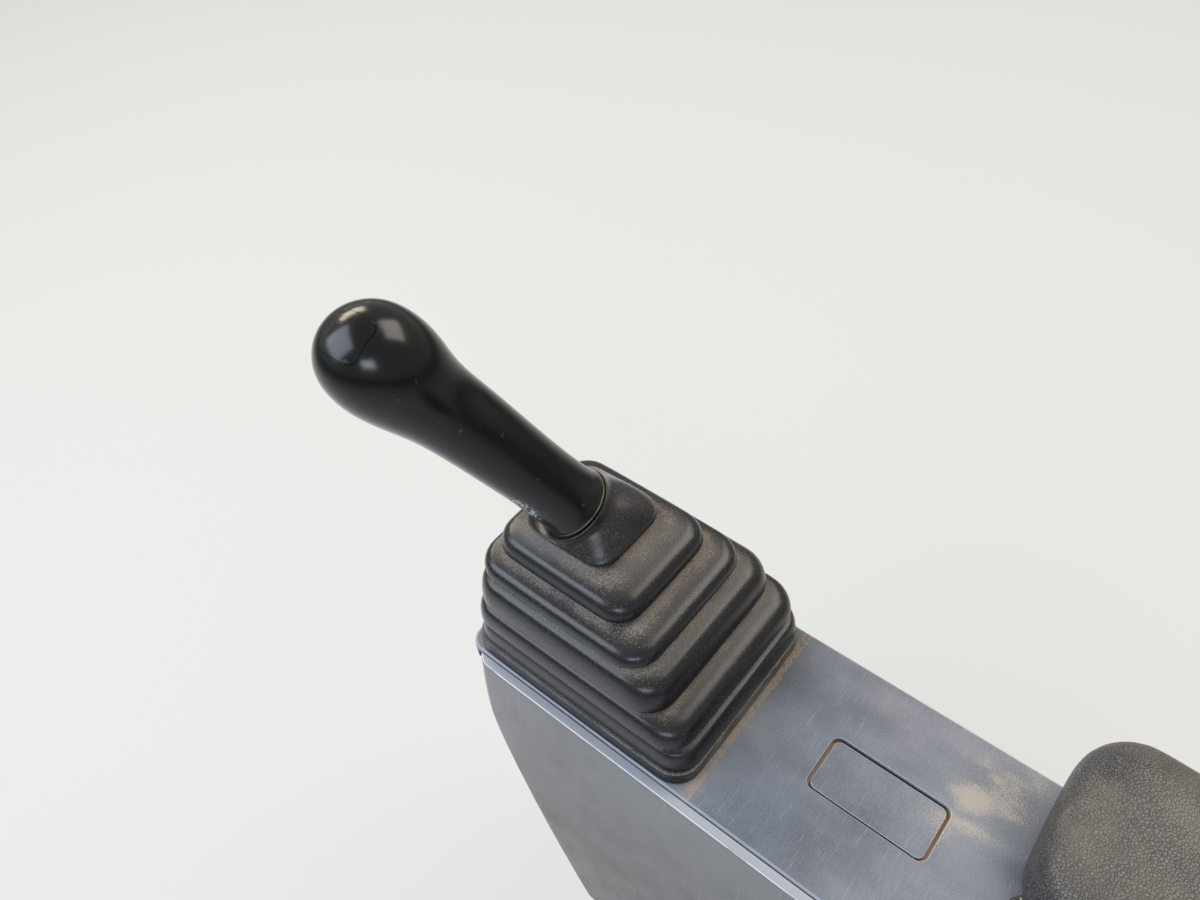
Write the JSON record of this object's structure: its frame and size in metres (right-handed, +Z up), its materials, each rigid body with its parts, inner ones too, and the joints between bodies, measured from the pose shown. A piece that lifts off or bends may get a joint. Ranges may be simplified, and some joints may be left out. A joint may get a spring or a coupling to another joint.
{
  "type": "excavator control lever console",
  "caption": "Right-hand excavator cab console: joystick in a stepped rubber boot on a dusty grey plastic pod, with a hinged armrest pad behind it.",
  "frame": {"origin": "middle of the four base bolt holes, on the base plate's floor face", "axes": "+X to the operator's right, +Y towards the front of the machine, +Z up"},
  "size_m": [0.1884, 0.6222, 0.5632],
  "materials": {
    "steel_frame": "satin black paint",
    "side_plastic": "satin",
    "lid_plastic": "textured, dusty",
    "dial_plastic": "satin",
    "valve_iron": "as cast, painted",
    "bright_steel": "machined",
    "boot_rubber": "dusty",
    "grip_plastic": "polished by use",
    "armrest_skin": "leather grain, dusty"
  },
  "bodies": {
    "console": {"base_plate": "steel_frame", "pedestal": "steel_frame", "pedestal_spacers": "steel_frame", "tray": "steel_frame", "left_cover": "side_plastic", "right_cover": "side_plastic", "top_cover": "lid_plastic", "switch_blank": "lid_plastic", "dial_bezel": "dial_plastic", "throttle_dial": "dial_plastic", "valve_block": "valve_iron", "port_nipples": "bright_steel", "valve_yoke": "bright_steel", "boot_lower": "boot_rubber", "armrest_bracket": "steel_frame", "armrest_pin": "bright_steel", "armrest_buffers": "boot_rubber"},
    "gimbal": {"gimbal_cross": "bright_steel"},
    "lever": {"lever_fork": "bright_steel", "collar": "boot_rubber", "grip": "grip_plastic", "grip_cap": "grip_plastic", "boot_upper": "boot_rubber"},
    "armrest": {"armrest_plate": "steel_frame", "armrest_pad": "armrest_skin"}
  },
  "joints": [
    {"name": "lever_fore_aft", "type": "hinge", "parent": "console", "child": "gimbal", "pos_m": [0, 0.25, 0.268], "axis": [1, 0, 0], "range_deg": [-18, 18], "stiffness_Nm_per_rad": 14, "springref_deg": 0.93, "deforming": ["boot_lower"]},
    {"name": "lever_side", "type": "hinge", "parent": "gimbal", "child": "lever", "pos_m": [0, 0.25, 0.268], "axis": [0, 1, 0], "range_deg": [-18, 18], "stiffness_Nm_per_rad": 14, "springref_deg": 0.57, "deforming": ["boot_upper"]},
    {"name": "armrest_fold", "type": "hinge", "parent": "console", "child": "armrest", "pos_m": [0.024, -0.238, 0.312], "axis": [1, 0, 0], "range_deg": [0, 90]}
  ]
}
